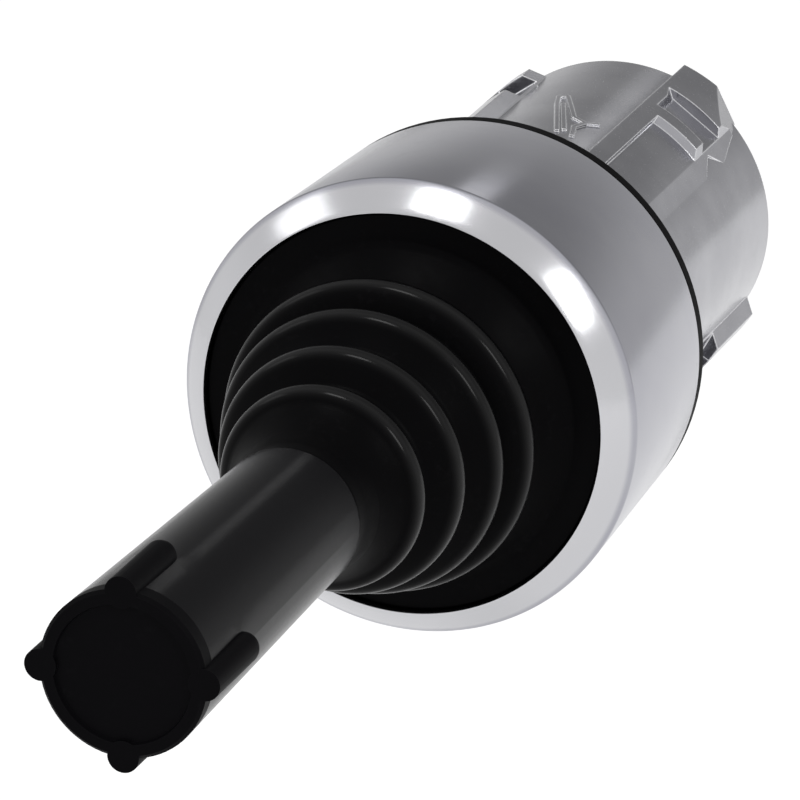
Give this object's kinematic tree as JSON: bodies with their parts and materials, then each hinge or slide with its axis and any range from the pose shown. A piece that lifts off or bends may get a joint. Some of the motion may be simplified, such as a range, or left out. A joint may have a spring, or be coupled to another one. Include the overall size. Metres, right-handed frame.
{
  "type": "industrial joystick",
  "caption": "Panel mounted joystick actuator with a straight round lever, a ribbed rubber bellows, a bright round bezel and a ribbed die cast bayonet barrel.",
  "frame": {"origin": "on the centre line, at the rear face of the gasket, which rests on the front of the panel", "axes": "+Y runs from the lever back through the panel hole along the centre line, +Z is the side with the raised arrow mark, which is up as mounted, and +X is the operator's right"},
  "size_m": [0.029, 0.0904, 0.029],
  "materials": {
    "die_cast_zinc": "as cast, fine satin",
    "seal_rubber": "matt",
    "bright_chrome": "satin chrome, polished bevel",
    "boot_rubber": "smooth, slight sheen",
    "steel": "turned",
    "spring_steel": "drawn wire",
    "bearing_plastic": "moulded",
    "insert_plastic": "moulded",
    "plunger_plastic": "moulded",
    "grip_plastic": "smooth moulded",
    "cap_plastic": "matt moulded"
  },
  "bodies": {
    "housing": {"barrel_housing": "die_cast_zinc", "panel_gasket": "seal_rubber", "front_bezel": "bright_chrome", "bellows": "boot_rubber", "bellows_clamp_ring": "steel", "gimbal_bushes": "bearing_plastic", "plunger_carrier": "insert_plastic", "carrier_retaining_ring": "steel", "plunger_spring_top": "spring_steel", "plunger_spring_right": "spring_steel", "plunger_spring_bottom": "spring_steel", "plunger_spring_left": "spring_steel"},
    "gimbal": {"gimbal_ring": "steel", "gimbal_trunnions": "steel", "hub_pins": "steel"},
    "lever": {"lever_hub": "steel", "lever_rod": "steel", "grip_handle": "grip_plastic", "grip_end_cap": "cap_plastic", "actuating_spider": "bearing_plastic", "spider_clip": "steel"},
    "plunger_top": {"plunger_top": "plunger_plastic"},
    "plunger_right": {"plunger_right": "plunger_plastic"},
    "plunger_bottom": {"plunger_bottom": "plunger_plastic"},
    "plunger_left": {"plunger_left": "plunger_plastic"}
  },
  "joints": [
    {"name": "tilt_up_down", "type": "hinge", "parent": "housing", "child": "gimbal", "pos_m": [0, -0.005, 0], "axis": [1, 0, 0], "range_deg": [-15, 15], "stiffness_Nm_per_rad": 0.6, "deforming": ["bellows"]},
    {"name": "tilt_left_right", "type": "hinge", "parent": "gimbal", "child": "lever", "pos_m": [0, -0.005, 0], "axis": [0, 0, 1], "range_deg": [-15, 15], "stiffness_Nm_per_rad": 0.6},
    {"name": "plunger_top_slide", "type": "slide", "parent": "housing", "child": "plunger_top", "axis": [0, 1, 0], "range_m": [-0.0015, 0.0015], "deforming": ["plunger_spring_top"]},
    {"name": "plunger_right_slide", "type": "slide", "parent": "housing", "child": "plunger_right", "axis": [0, 1, 0], "range_m": [-0.0015, 0.0015], "deforming": ["plunger_spring_right"]},
    {"name": "plunger_bottom_slide", "type": "slide", "parent": "housing", "child": "plunger_bottom", "axis": [0, 1, 0], "range_m": [-0.0015, 0.0015], "deforming": ["plunger_spring_bottom"]},
    {"name": "plunger_left_slide", "type": "slide", "parent": "housing", "child": "plunger_left", "axis": [0, 1, 0], "range_m": [-0.0015, 0.0015], "deforming": ["plunger_spring_left"]}
  ],
  "couplings": [
    {"joint": "plunger_top_slide", "follows": "tilt_up_down", "m_per_rad": -0.0057},
    {"joint": "plunger_right_slide", "follows": "tilt_left_right", "m_per_rad": 0.0057},
    {"joint": "plunger_bottom_slide", "follows": "tilt_up_down", "m_per_rad": 0.0057},
    {"joint": "plunger_left_slide", "follows": "tilt_left_right", "m_per_rad": -0.0057}
  ]
}
